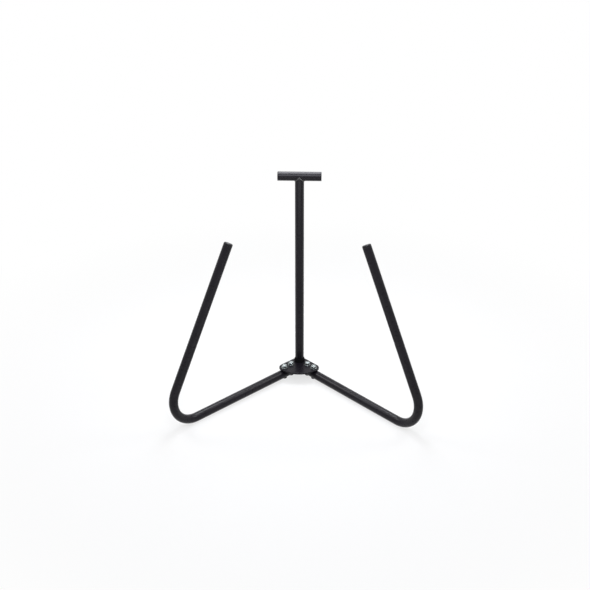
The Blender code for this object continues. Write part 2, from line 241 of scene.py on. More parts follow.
@dataclass
class Shell:
    """Points and faces of one piece, gathered grid by grid and merged where grids meet."""

    points: list[Array] = field(default_factory=list)
    faces: list[list[int]] = field(default_factory=list)
    marks: list[Array] = field(default_factory=list)

    def add(self, points: Array, faces: Array, mark: Array | float = 0.0) -> None:
        """Adds points with their mark, and faces that number those points from 0.

        Args:
            points: Points, last axis of three.
            faces: Point numbers, one row for each face.
            mark: Value for the piece's own attribute, broadcast over the points.
        """
        first = sum(map(len, self.points))
        self.points.append(points.reshape(-1, 3))
        self.marks.append(np.broadcast_to(mark, points.shape[:-1]).reshape(-1))
        self.faces += (first + faces).tolist()

    def add_grid(self, grid: Array, mark: Array | float = 0.0, close_rows: bool = False) -> "Shell":
        """Adds a grid of quads, each from a point to the next column and row, whose columns close round.

        Args:
            grid: Points, shape (rows, columns, 3).
            mark: Value for the piece's own attribute.
            close_rows: Whether the last row joins the first.

        Returns:
            The shell itself.
        """
        rows, columns = grid.shape[:2]
        last = rows if close_rows else rows - 1
        row, column = np.mgrid[:last, :columns]
        below, beside = (row + 1) % rows, (column + 1) % columns
        corners = [(row, column), (row, beside), (below, beside), (below, column)]
        quads = np.stack([r * columns + c for r, c in corners], axis=-1)
        self.add(grid, quads.reshape(-1, 4), mark)
        return self

    def add_flat(self, loops: list[Array], height: float) -> None:
        """Fills a level face inside the first outline and outside the others with triangles."""
        outlines = [raised(loop, 0.0).tolist() for loop in loops]
        self.add(raised(np.concatenate(loops), height), np.array(tessellate_polygon(outlines)))

    def build(self, name: str, sharp: float = SHARP_ANGLE) -> Piece:
        """Makes the object: doubles merged, faces turned outwards, smooth except over sharp edges.

        Args:
            name: Name of the piece.
            sharp: Angle between faces, in degrees, above which an edge stays sharp.

        Returns:
            The object, linked at the origin.
        """
        mesh = bpy.data.meshes.new(name)
        mesh.from_pydata(np.concatenate(self.points).tolist(), [], self.faces)
        mark = mesh.attributes.new(WEAR_AND_SHADE_MARK, "FLOAT", "POINT")
        mark.data.foreach_set("value", np.concatenate(self.marks).astype(np.float32))
        body = bmesh.new()
        body.from_mesh(mesh)
        bmesh.ops.remove_doubles(body, verts=body.verts, dist=MERGE_DISTANCE)
        bmesh.ops.recalc_face_normals(body, faces=body.faces)
        body.to_mesh(mesh)
        body.free()
        mesh.shade_smooth()
        mesh.set_sharp_from_angle(angle=math.radians(sharp))
        return placed(bpy.data.objects.new(name, mesh))


def on_line(start: Array, heading: Array, side: Array, station: Array) -> tuple[Array, Array, Array]:
    """Points start + station * heading of a straight line, and two directions square to it at each."""
    points = start + station * heading
    return points, side + 0 * points, np.cross(heading, side) + 0 * points


@dataclass(frozen=True)
class Sleeve:
    """A tube's wall: an outer and an inner radius, with lightly rounded cut ends."""

    outer: float = TUBE_RADIUS
    inner: float = BORE_RADIUS
    lip: float = 0.0003
    lip_steps: int = 4
    guard: float = 0.0012
    columns: int = 96

    def grid(self, spine: Spine, outside: Array, inside: Array) -> tuple[Array, Array]:
        """Closed run out along the outer wall, round one cut end, back inside and round the other.

        The lips are quarter rounds, and the outer wall's end rows stand a guard's length inside them, so that
        its shading stays straight. A point is centre + radius * (cos angle * first + sin angle * second).

        Args:
            spine: Centre line.
            outside: Stations of the outer wall from end to end.
            inside: Stations of the inner wall from end to end.

        Returns:
            Grid of points, and a mark of 1 on the outer lips and 0 elsewhere.
        """
        over, short = quarter_round(self.lip, self.lip_steps)
        start, end = outside[0], outside[-1]
        wall = np.concatenate([[start + self.guard], outside[1:-1], [end - self.guard]])
        rim, mouth = self.outer - over, self.inner + over[::-1]
        rows = [
            (wall, self.outer, 0.0),
            (end - short, rim, 1.0),
            (end - short[::-1], mouth, 0.0),
            (inside[-2:0:-1], self.inner, 0.0),
            (start + short, mouth[::-1], 0.0),
            (start + short[::-1], rim[::-1], 1.0),
        ]
        parts = zip(*(np.broadcast_arrays(*row) for row in rows))
        stations, radii, marks = (np.concatenate(part)[:, None] for part in parts)
        centre, first, second = (line[:, None] for line in spine(stations))
        angle = turns(self.columns)[:, None]
        spokes = np.cos(angle) * first + np.sin(angle) * second
        return centre + radii[..., None] * spokes, marks


class Noise(NamedTuple):
    """Fractal noise: features per metre, octaves, the share of each further one, and the range put to use."""

    scale: float
    detail: float = 2.0
    roughness: float = 0.5
    reach: Pair = UNIT


class NodeSheet:
    """Shorthand for laying out the nodes of a material or a world."""

    def __init__(self, owner: bpy.types.Material | bpy.types.World) -> None:
        """Clears the owner's node tree.

        Args:
            owner: What the nodes belong to.
        """
        self.owner = owner
        owner.use_nodes = True
        self.tree = owner.node_tree
        self.tree.nodes.clear()

    @cached_property
    def place(self) -> Socket:
        """The object's own coordinates."""
        return self.node("TexCoord", {}).outputs["Object"]

    def node(self, kind: str, feeds: dict[str | int, Value], **settings: object) -> bpy.types.Node:
        """A node with its settings made, and each input linked or set, with full alpha on a colour.

        Args:
            kind: Blender's name of the node type, less ShaderNode.
            feeds: Output socket, number, colour or factors for each input, by name or number.
            settings: Properties to set on the node.

        Returns:
            The new node.
        """
        made = self.tree.nodes.new("ShaderNode" + kind)
        for key, value in settings.items():
            setattr(made, key, value)
        for key, value in feeds.items():
            socket = made.inputs[key]
            if isinstance(value, Socket):
                self.tree.links.new(value, socket)
            else:
                socket.default_value = (*value, 1.0) if socket.type == "RGBA" else value
        return made

    def maths(self, operation: str, first: Value, second: Value) -> Socket:
        """Two values joined by an operation."""
        return self.node("Math", {0: first, 1: second}, operation=operation).outputs[0]

    def plus(self, first: Value, second: Value, share: float) -> Socket:
        """The first value with a share of the second added."""
        return self.maths("ADD", first, self.maths("MULTIPLY", second, share))

    def span(self, value: Socket, reach: Pair, results: Pair = UNIT, **settings: object) -> Socket:
        """Carries a value from one range to another, clamped at both ends."""
        feeds = dict(zip(("Value", "From Min", "From Max", "To Min", "To Max"), (value, *reach, *results)))
        return self.node("MapRange", feeds, clamp=True, **settings).outputs["Result"]

    def mixed(self, share: Socket, first: Socket, second: Socket) -> Socket:
        """One shader where the share is 0 and the other where it is 1."""
        return self.node("MixShader", {0: share, 1: first, 2: second}).outputs[0]

    def seen(self) -> Socket:
        """The greatest of three tests: a ray from the camera, a reflected one, or a refracted one.

        Returns:
            1 for such rays, 0 for scattered light.
        """
        path = self.node("LightPath", {}).outputs
        either = self.maths("MAXIMUM", path["Is Camera Ray"], path["Is Glossy Ray"])
        return self.maths("MAXIMUM", either, path["Is Transmission Ray"])

    def stretched(self, factors: Triple) -> Socket:
        """Object coordinates stretched by a factor along each axis."""
        return self.node("Mapping", {"Vector": self.place, "Scale": factors}).outputs[0]

    def noise(self, kind: Noise, place: Socket | None = None) -> Socket:
        """Fractal noise, about 0 to 1, on object coordinates or on others that are given."""
        feeds = dict(zip(("Vector", "Scale", "Detail", "Roughness"), (place or self.place, *kind[:3])))
        return self.node("TexNoise", feeds).outputs[0]

    def patches(self, kind: Noise, results: Pair = UNIT) -> Socket:
        """Noise with its own range carried to results."""
        return self.span(self.noise(kind), kind.reach, results)

    def cells(self, scale: float) -> Socket:
        """Distance, in cell widths, to the nearest of so many points per metre scattered through space."""
        return self.node("TexVoronoi", {"Vector": self.place, "Scale": scale}).outputs["Distance"]

    def marked(self, value: Socket) -> Socket:
        """A value times the piece's own mark: 1 on a rubbed lip, a weld scale's lit crest, or a bolt head
        painted dark as shade.
        """
        mark = self.node("Attribute", {}, attribute_name=WEAR_AND_SHADE_MARK).outputs["Fac"]
        return self.maths("MULTIPLY", mark, value)

    def blend(self, share: Socket, first: Value, second: Value) -> Socket:
        """The first colour where the share is 0, the second where it is 1."""
        # Inputs 6 and 7 and output 2 are the node's colour sockets
        return self.node("Mix", {0: share, 6: first, 7: second}, data_type="RGBA").outputs[2]

    def relief(self, height: Socket, depth: float) -> Socket:
        """Normals bumped by a height field, of which 1 stands for a depth in metres."""
        return self.node("Bump", {"Distance": depth, "Height": height}).outputs[0]

    def finished(self, **values: Value) -> bpy.types.Material:
        """Puts a Principled shader on the material's output.

        Args:
            values: Value for each of the shader's inputs, with underscores for spaces.

        Returns:
            The finished material.
        """
        shader = self.node("BsdfPrincipled", {key.replace("_", " "): value for key, value in values.items()})
        self.node("OutputMaterial", {"Surface": shader.outputs[0]})
        return self.owner


@dataclass(frozen=True)
class PowderCoat:
    """Satin black powder coat: orange peel, a fine grain, uneven sheen, and edges rubbed a little paler."""

    name: str = "satin_black_powder_coat"
    deep: Colour = (0.0064, 0.0052, 0.0082)
    pale: Colour = (0.0104, 0.0088, 0.0124)
    rubbed: Colour = (0.026, 0.025, 0.028)
    specular: float = 0.17
    roughness: Pair = (0.26, 0.31)
    peel: Noise = Noise(620.0, 2.0, 0.4)
    peel_depth: float = 0.00005
    grain: Noise = Noise(2600.0, 1.0)
    grain_in_tone: float = 0.25
    grain_in_relief: float = 0.3
    cloud: Noise = Noise(38.0, 4.0, 0.6, (0.42, 0.82))
    wear: Noise = Noise(220.0, 3.0, 0.5, (0.40, 0.62))
    sheen: Noise = Noise(150.0, 4.0, 0.6, (0.3, 0.7))

    def material(self) -> bpy.types.Material:
        """Peel and grain noises make the relief, slower ones the tone and sheen.

        Returns:
            The finished material.
        """
        sheet = NodeSheet(bpy.data.materials.new(self.name))
        grain = sheet.noise(self.grain)
        peel = sheet.plus(sheet.noise(self.peel), grain, self.grain_in_relief)
        tone = sheet.plus(sheet.noise(self.cloud), grain, self.grain_in_tone)
        colour = sheet.blend(sheet.span(tone, self.cloud.reach), self.deep, self.pale)
        return sheet.finished(
            Base_Color=sheet.blend(sheet.marked(sheet.patches(self.wear)), colour, self.rubbed),
            Roughness=sheet.patches(self.sheen, self.roughness),
            Specular_IOR_Level=self.specular,
            Normal=sheet.relief(peel, self.peel_depth),
        )


@dataclass(frozen=True)
class WeldCoat:
    """Weld metal under the same coat: painted shade darkens the valleys between the scales, and the crests
    are glossier and paler, a painted highlight.
    """

    name: str = "coated_weld_bead"
    valley_shade: Colour = (0.0030, 0.0028, 0.0038)
    crest: Colour = (0.0180, 0.0170, 0.0195)
    specular: float = 0.90
    roughness: Pair = (0.42, 0.15)
    scale_reach: Pair = (0.1, 0.9)
    pits: Noise = Noise(900.0, 3.0, 0.6, (0.3, 0.7))
    pit_shade: Pair = (0.4, 1.0)
    pit_depth: float = 0.00018

    def material(self) -> bpy.types.Material:
        """The scale mark sets sheen, and tone as painted shade and highlight; a coarse noise pits the
        surface.

        Returns:
            The finished material.
        """
        sheet = NodeSheet(bpy.data.materials.new(self.name))
        pits = sheet.noise(self.pits)
        # Painted shade and highlight: 0 in valleys and pits, 1 on crests, for the tone as well as the gloss
        high = sheet.marked(sheet.span(pits, self.pits.reach, self.pit_shade))
        return sheet.finished(
            Base_Color=sheet.blend(high, self.valley_shade, self.crest),
            Roughness=sheet.span(high, self.scale_reach, self.roughness),
            Specular_IOR_Level=self.specular,
            Normal=sheet.relief(pits, self.pit_depth),
        )


@dataclass(frozen=True)
class ShadedFootWeldCoat(WeldCoat):
    """The same on the bead at the post's foot: rough, taking little sheen, and painted darker as shade."""

    name: str = "coated_foot_weld_painted_shade"
    # Painted shade: crests darker than the weld coat's, for the shade round the post's foot
    crest: Colour = (0.0110, 0.0100, 0.0120)
    specular: float = 0.06
    roughness: Pair = (0.65, 0.40)
    pit_depth: float = 0.0003


@dataclass(frozen=True)
class ZincPlate:
    """Bright zinc plate: cool silver, cloudy and spotted, with plating grain, drag marks, and bolt heads
    painted dark as shade.
    """

    name: str = "bright_zinc_plate"
    cool: Colour = (0.27, 0.31, 0.32)
    clear: Colour = (0.45, 0.47, 0.465)
    tarnish: Colour = (0.17, 0.19, 0.185)
    head_shade: Colour = (0.030, 0.031, 0.033)
    roughness: Pair = (0.17, 0.32)
    cloud: Noise = Noise(260.0, 3.0, 0.55, (0.35, 0.68))
    head_shade_reach: Pair = (0.3, 0.6)
    head_shade_share: Pair = (0.75, 1.0)
    spots: Noise = Noise(420.0, 3.0, 0.6, (0.56, 0.74))
    spot_share: Pair = (0.0, 0.45)
    drag: Noise = Noise(1.0, 2.0, 0.5, (0.3, 0.7))
    drag_factors: Triple = (900.0, 5200.0, 2400.0)
    drag_in_relief: float = 0.4
    grain: Noise = Noise(3200.0)
    grain_depth: float = 0.00003

    def material(self) -> bpy.types.Material:
        """Cloudy noise blends two silvers, another tarnishes spots, a stretched one drags the sheen, and
        marked heads get painted shade.

        Returns:
            The finished material.
        """
        sheet = NodeSheet(bpy.data.materials.new(self.name))
        cloud = sheet.noise(self.cloud)
        drag = sheet.noise(self.drag, sheet.stretched(self.drag_factors))
        grain = sheet.plus(sheet.noise(self.grain), drag, self.drag_in_relief)
        silver = sheet.blend(sheet.span(cloud, self.cloud.reach), self.cool, self.clear)
        spotted = sheet.blend(sheet.patches(self.spots, self.spot_share), silver, self.tarnish)
        # Painted shade: the marked bolt head is darkened nearly to black, as if in the shadow under its arm
        shaded_head = sheet.marked(sheet.span(cloud, self.head_shade_reach, self.head_shade_share))
        return sheet.finished(
            Base_Color=sheet.blend(shaded_head, spotted, self.head_shade),
            Metallic=1.0,
            Roughness=sheet.span(drag, self.drag.reach, self.roughness),
            Normal=sheet.relief(grain, self.grain_depth),
        )


@dataclass(frozen=True)
class MouldedPlastic:
    """Moulded black plastic: a fine spark-eroded grain, faint flow marks and scuffed edges."""

    name: str = "moulded_black_plastic"
    deep: Colour = (0.0066, 0.0058, 0.0080)
    pale: Colour = (0.0100, 0.0090, 0.0116)
    scuffed: Colour = (0.024, 0.023, 0.025)
    specular: float = 0.19
    roughness: Pair = (0.25, 0.34)
    grain_scale: float = 2400.0
    grain_reach: Pair = (0.1, 0.7)
    grain_depth: float = 0.000012
    flow: Noise = Noise(1.0, 3.0, 0.5, (0.35, 0.65))
    flow_factors: Triple = (140.0, 420.0, 260.0)
    scuffs: Noise = Noise(300.0, 3.0, 0.5, (0.42, 0.62))

    def material(self) -> bpy.types.Material:
        """Cell distances make the grain, stretched noise the flow marks.

        Returns:
            The finished material.
        """
        sheet = NodeSheet(bpy.data.materials.new(self.name))
        grain = sheet.cells(self.grain_scale)
        flow = sheet.noise(self.flow, sheet.stretched(self.flow_factors))
        colour = sheet.blend(sheet.span(flow, self.flow.reach), self.deep, self.pale)
        return sheet.finished(
            Base_Color=sheet.blend(sheet.marked(sheet.patches(self.scuffs)), colour, self.scuffed),
            Roughness=sheet.span(grain, self.grain_reach, self.roughness),
            Specular_IOR_Level=self.specular,
            Normal=sheet.relief(grain, self.grain_depth),
        )


@dataclass(frozen=True)
class Finishes:
    """A material for each slot of the record, and one for each node that differs from its slot."""

    slots: dict[Slot, bpy.types.Material]
    nodes: dict[str, bpy.types.Material]

    @classmethod
    def made(cls) -> "Finishes":
        """Makes a finish for each slot, and a rougher weld coat, painted darker as shade, for the bead at the
        post's foot.
        """
        kinds = zip(Slot, (PowderCoat(), WeldCoat(), ZincPlate(), MouldedPlastic()))
        return cls({slot: kind.material() for slot, kind in kinds}, {"post_weld": ShadedFootWeldCoat().material()})

    def dress(self, piece: Piece, slot: Slot, node: str) -> None:
        """Gives a piece its finish, and sets it on its body in its CAD node's stead.

        Args:
            piece: The finished piece.
            slot: Slot of the record that it takes its finish from.
            node: CAD node that it stands for.
        """
        piece.data.materials.clear()
        piece.data.materials.append(self.nodes.get(node, self.slots[slot]))
        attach(piece, BODY)
        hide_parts(node)
        LOG.info("%s stands for %s in %s, %d faces", piece.name, node, slot.value, len(piece.data.polygons))


@dataclass(frozen=True)
class Measures:
    """Places read from the CAD frame."""

    post_axis: Array
    handle_height: float
    handle_half: float
    plate_bottom: float
    plate_top: float

    @classmethod
    def read(cls) -> "Measures":
        """Reads the boxes of the post, handle, plugs and plate.

        Returns:
            The measures.
        """
        plate_low, plate_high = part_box("hub_plate")
        return cls(
            post_axis=middle_of("post_tube") * PLAN,
            handle_height=middle_of("handle_tube")[2],
            handle_half=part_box("right_handle_plug")[1].x,
            plate_bottom=plate_low.z,
            plate_top=plate_high.z,
        )


@dataclass(frozen=True)
class Post:
    """Upright tube, coped to the handle at its top and welded to the plate at its foot."""

    at: Measures
    sleeve: Sleeve = Sleeve()
    cope_sink: float = 0.0002
    wall_rows: int = 60
    weld_height: float = 0.0118
    weld_foot: float = 0.0025
    weld_crown: float = 0.35
    weld_sink: float = 0.0003
    weld_ripple: float = 0.00075
    weld_valley: float = 0.35
    weld_swell: float = 0.00035
    weld_scales: int = 31
    scale_bow: float = 0.9
    toe_fade: float = 0.7
    swell_lift: float = 2.5
    ripple_lift: float = 0.5
    weld_columns: int = 552
    weld_rows: int = 18
    weld_sharp: float = 70.0

    def tube(self) -> Piece:
        """Sleeve whose upright lines are drawn out to where they meet the handle.

        Each line of the wall, at distance y across the handle, ends at the handle's height less the square
        root of its radius squared less y squared, and the rows share that length evenly.

        Returns:
            The post's object.
        """
        foot = self.at.plate_top
        span = self.at.handle_height - foot
        rows = np.linspace(0.0, span, self.wall_rows)
        spine = partial(on_line, self.at.post_axis + foot * UP, UP, ALONG_X)
        grid, marks = self.sleeve.grid(spine, rows, rows[::INNER_WALL_STEP])
        across = grid[..., 1] - self.at.post_axis[1]
        reach = TUBE_RADIUS - self.cope_sink
        top = span - np.sqrt(np.clip(reach**2 - across**2, 0.0, None))
        grid[..., 2] = foot + (grid[..., 2] - foot) * top / span
        return Shell().add_grid(grid, marks, close_rows=True).build("post")

    def foot_weld(self) -> Piece:
        """Fillet bead: a face between a straight slope and a quarter oval, with scales raised along its run.

        Way w across the face runs from post (0) to plate (1). Out is (1 - crown) w + crown sin(w quarter), up
        is the same with 1 - w and a cosine, and the scales push both outwards with a sine of w that fades at
        the toes. The back of the section is sunk into post and plate.

        Returns:
            The bead's object.
        """
        turn = turns(self.weld_columns)[None, :]
        way = np.linspace(0.0, 1.0, self.weld_rows)[:, None]
        crown, slope = self.weld_crown, 1 - self.weld_crown
        out = slope * way + crown * np.sin(way * QUARTER)
        up = slope * (1 - way) + crown * np.cos(way * QUARTER)
        swell = self.weld_swell * hand_waves(turn, HAND_SWELL)
        scales = bead_scales(turn, 2 * way - 1, self.weld_scales, self.scale_bow)
        push = self.weld_ripple * (scales - self.weld_valley) * np.sin(way * math.pi) ** self.toe_fade
        inner = TUBE_RADIUS - self.weld_sink
        distance = inner + (self.weld_foot + self.weld_sink + swell) * out + push
        height = (self.weld_height + self.swell_lift * swell) * up + self.ripple_lift * push
        distance = np.concatenate([distance, distance[-1:], np.full_like(turn, inner)])
        height = np.concatenate([height, np.full((2, self.weld_columns), -self.weld_sink)])
        # The scales also mark the bead for painted shade in the valleys and painted highlight on the crests
        marks = np.concatenate([scales, np.zeros((2, self.weld_columns))])
        ring = polar(distance, turn, height) + self.at.post_axis + self.at.plate_top * UP
        return Shell().add_grid(ring, marks, close_rows=True).build("post_foot_weld", self.weld_sharp)

    def build(self, finishes: Finishes) -> None:
        """Builds and dresses the post and its weld."""
        finishes.dress(self.tube(), Slot.COAT, "post_tube")
        finishes.dress(self.foot_weld(), Slot.WELD, "post_weld")


@dataclass(frozen=True)
class MouldedPlug:
    """Plastic plug: a head as wide as the tube, a ribbed stem inside it, and a small moulding gate on top."""

    head_height: float
    edge_radius: float
    stem_radius: float = 0.0097
    core_radius: float = 0.0091
    hollow_radius: float = 0.0077
    seat_drop: float = 0.00028
    stem_length: float = 0.014
    rib_pitch: float = 0.0056
    gate_radius: float = 0.0016
    gate_depth: float = 0.0003
    gate_flare: float = 0.0002
    gate_round: float = 0.0001
    corner_round: float = 0.0002
    round_steps: int = 8
    columns: int = 96

    def profile(self) -> tuple[Array, Array]:
        """Half section from the gate out over the head, down the ribs and back up the hollow stem.

        Every rib stands out square at half a pitch above its foot and slopes back to the core there.

        Returns:
            Profile points, and a mark of 1 along the head's rounded edge.
        """
        top, gate, core = self.head_height, self.gate_radius, self.core_radius
        corners = [
            (0.0, top - self.gate_depth, 0.0),
            (gate, top - self.gate_depth, self.gate_round),
            (gate + self.gate_flare, top, self.gate_round),
            (TUBE_RADIUS, top, self.edge_radius),
            (TUBE_RADIUS, -self.seat_drop, self.corner_round),
            (core, -self.seat_drop, 0.0),
        ]
        for foot in -self.rib_pitch * np.arange(1, int(self.stem_length / self.rib_pitch) + 1):
            upper = foot + self.rib_pitch / 2
            corners += [(core, upper, 0.0), (self.stem_radius, upper, self.corner_round), (core, foot, 0.0)]
        corners += [
            (core, -self.stem_length, self.corner_round),
            (self.hollow_radius, -self.stem_length, self.corner_round),
            (self.hollow_radius, 0.0, 0.0),
            (0.0, 0.0, 0.0),
        ]
        profile = rounded(corners, self.round_steps)
        inside = (TUBE_RADIUS - self.edge_radius, top - self.edge_radius)
        return profile, np.all(profile > inside, axis=-1, keepdims=True).astype(float)

    def piece(self, name: str, base: Array, axis: Array) -> Piece:
        """The plug turned from its profile and set on a tube's end, along the tube's outward direction."""
        profile, marks = self.profile()
        return Shell().add_grid(stood(turned(profile, self.columns), base, axis), marks).build(name)


@dataclass(frozen=True)
class Handle:
    """Cross tube on the post, with a plug in each end and a bead round its saddle joint."""

    at: Measures
    sleeve: Sleeve = Sleeve()
    plug: MouldedPlug = MouldedPlug(head_height=0.002, edge_radius=0.0006)
    wall_rows: int = 24
    weld_radius: float = 0.0020
    weld_side_share: float = 0.70
    weld_lean: float = 0.12
    weld_drop: float = 0.00005
    weld_sink: float = 0.0004
    weld_back: float = 0.12
    weld_ripple: float = 0.34
    weld_swell: float = 0.16
    swell_start: float = 1.0
    weld_scales: int = 30
    scale_bow: float = 0.5
    weld_columns: int = 480
    weld_rows: int = 24
    weld_sharp: float = 80.0

    @property
    def middle(self) -> Array:
        """Where the post's axis meets the handle's."""
        return self.at.post_axis + self.at.handle_height * UP

    def tube(self) -> Piece:
        """Straight sleeve along X between the two plugs' heads.

        Returns:
            The handle's object.
        """
        half = self.at.handle_half - self.plug.head_height - FIT_GAP
        stations = np.linspace(0.0, 2 * half, self.wall_rows)
        spine = partial(on_line, self.middle - half * ALONG_X, ALONG_X, UP)
        grid, marks = self.sleeve.grid(spine, stations, stations[::INNER_WALL_STEP])
        return Shell().add_grid(grid, marks, close_rows=True).build("handle")

    def saddle_weld(self) -> Piece:
        """Bead along the saddle of post and handle, fuller in front and behind, swelling with its scales.

        The line lies on the post at each turn, at the handle's height less the square root of (radius + drop)
        squared less the distance across squared. The section is a circle square to it. Points inside a tube
        are drawn out to just under its surface, and keep a small share of their depth.

        Returns:
            The bead's object.
        """
        turn = turns(self.weld_columns)
        facing = directions(turn)
        fall = np.sqrt((TUBE_RADIUS + self.weld_drop) ** 2 - (TUBE_RADIUS * np.sin(turn)) ** 2)
        line = raised(TUBE_RADIUS * facing, -fall[:, None])
        along = unit(np.roll(line, -1, axis=0) - np.roll(line, 1, axis=0))
        outward = raised(facing, 0.0)
        outward = unit(outward - along * (outward * along).sum(axis=-1, keepdims=True))
        angle = turns(self.weld_rows)[:, None]
        scales = bead_scales(turn[None, :], np.sin(angle), self.weld_scales, self.scale_bow)
        fullness = self.weld_side_share + (1 - self.weld_side_share) * np.sin(turn) ** 2
        swell = self.weld_swell * hand_waves(turn + self.swell_start, HAND_SWELL)
        uneven = 1 + self.weld_ripple * (scales - 0.5) + swell
        size = self.weld_radius * (1 + self.weld_lean * np.cos(turn)) * fullness * uneven
        spokes = np.cos(angle)[..., None] * outward + np.sin(angle)[..., None] * np.cross(along, outward)
        bead = line + size[..., None] * spokes
        least = TUBE_RADIUS - self.weld_sink
        for axes in (slice(0, 2), slice(1, 3)):
            way = np.linalg.norm(bead[..., axes], axis=-1, keepdims=True)
            bead[..., axes] *= np.maximum(1.0, (least - self.weld_back * (least - way)) / way)
        # The scales also mark the bead for painted shade in the valleys and painted highlight on the crests
        shell = Shell().add_grid(bead + self.middle, scales, close_rows=True)
        return shell.build("handle_saddle_weld", self.weld_sharp)

    def build(self, finishes: Finishes) -> None:
        """Builds and dresses the handle, its weld and its plugs.

        Args:
            finishes: Finishes to dress them with.
        """
        finishes.dress(self.tube(), Slot.COAT, "handle_tube")
        finishes.dress(self.saddle_weld(), Slot.WELD, "handle_weld")
        for side in Side:
            axis = side.value * ALONG_X
            base = self.middle + axis * (self.at.handle_half - self.plug.head_height)
            plug = self.plug.piece(f"{side.word}_handle_end_plug", base, axis)
            finishes.dress(plug, Slot.PLASTIC, f"{side.word}_handle_plug")


@dataclass(frozen=True)
class HubPlate:
    """Rounded triangle of plate with four bolt holes, its edges softened by the coat."""

    at: Measures
    corner_radius: float = 0.018
    lobe_reach: float = 0.0495
    front_bow: float = 0.0135
    back_steps: int = 40
    lobe_steps: int = 48
    front_steps: int = 60
    edge_round: float = 0.0009
    edge_steps: int = 6
    rim: float = 0.0008
    hole_columns: int = 48
    sharp: float = 30.0

    def outline(self) -> tuple[Array, Array]:
        """Corner arcs at the post and over each arm, joined by straight backs and a bowed front.

        Every point lies on an arc, centre + radius * (cos, sin), so its outward direction is the arc's own.

        Returns:
            Points and outward directions, each of shape (n, 2), about the post's axis.
        """
        lobe_x = self.lobe_reach * math.sin(ARM_ANGLE)
        lobe_y = -self.lobe_reach * math.cos(ARM_ANGLE)
        bow_radius = (lobe_x**2 + self.front_bow**2) / (2 * self.front_bow)
        bow_y = lobe_y - self.front_bow + bow_radius
        bow_half = math.asin(lobe_x / bow_radius)
        left, right = 3 * QUARTER - bow_half, 3 * QUARTER + bow_half
        corner = self.corner_radius
        arcs = [
            ((0.0, 0.0), corner, ARM_ANGLE, math.pi - ARM_ANGLE, self.back_steps, True),
            ((-lobe_x, lobe_y), corner, math.pi - ARM_ANGLE, left, self.lobe_steps, False),
            ((0.0, bow_y), bow_radius + corner, left, right, self.front_steps, False),
            ((lobe_x, lobe_y), corner, right, FULL_TURN + ARM_ANGLE, self.lobe_steps, True),
        ]
        points, outward = [], []
        for centre, radius, first, last, count, whole in arcs:
            outward.append(directions(np.linspace(first, last, count, endpoint=whole)))
            points.append(np.array(centre) + radius * outward[-1])
        return np.concatenate(points), np.concatenate(outward)

    def piece(self, bolts: list[Array]) -> Piece:
        """Rim rings round the outline, level faces inside them, and a wall in each bolt hole.

        A ring at inset e and height z is outline - e * outward. The insets and heights run over two quarter
        rounds, and the mark is the sine of twice the way round each.

        Args:
            bolts: Bolt axes, each (x, y).

        Returns:
            The plate's object.
        """
        outline, outward = self.outline()
        outline = outline + self.at.post_axis[:2]
        top, bottom = self.at.plate_top, self.at.plate_bottom
        drop, inset = quarter_round(self.edge_round, self.edge_steps)
        bend = np.sin(np.linspace(0.0, math.pi, self.edge_steps + 1))
        flat = [self.edge_round + self.rim]
        insets = np.concatenate([flat, inset, inset[::-1], flat])[:, None, None]
        heights = np.concatenate([[top], top - drop, bottom + drop[::-1], [bottom]])[:, None, None]
        marks = np.concatenate([[0.0], bend, bend[::-1], [0.0]])[:, None]
        rings = outline - insets * outward
        shell = Shell().add_grid(raised(rings, heights), marks)
        circle = BOLT_HOLE_RADIUS * directions(turns(self.hole_columns))
        holes = [circle + bolt for bolt in bolts]
        for level in (top, bottom):
            shell.add_flat([rings[0], *holes], level)
        for hole in holes:
            shell.add_grid(raised(np.stack([hole, hole]), np.array([[[top]], [[bottom]]])))
        return shell.build("hub", self.sharp)

    def build(self, finishes: Finishes) -> None:
        """Builds and dresses the plate with holes on the bolts' axes."""
        bolts = [middle_of(f"{side.word}_{place.value}_bolt")[:2] for side in Side for place in Place]
        finishes.dress(self.piece(bolts), Slot.COAT, "hub_plate")


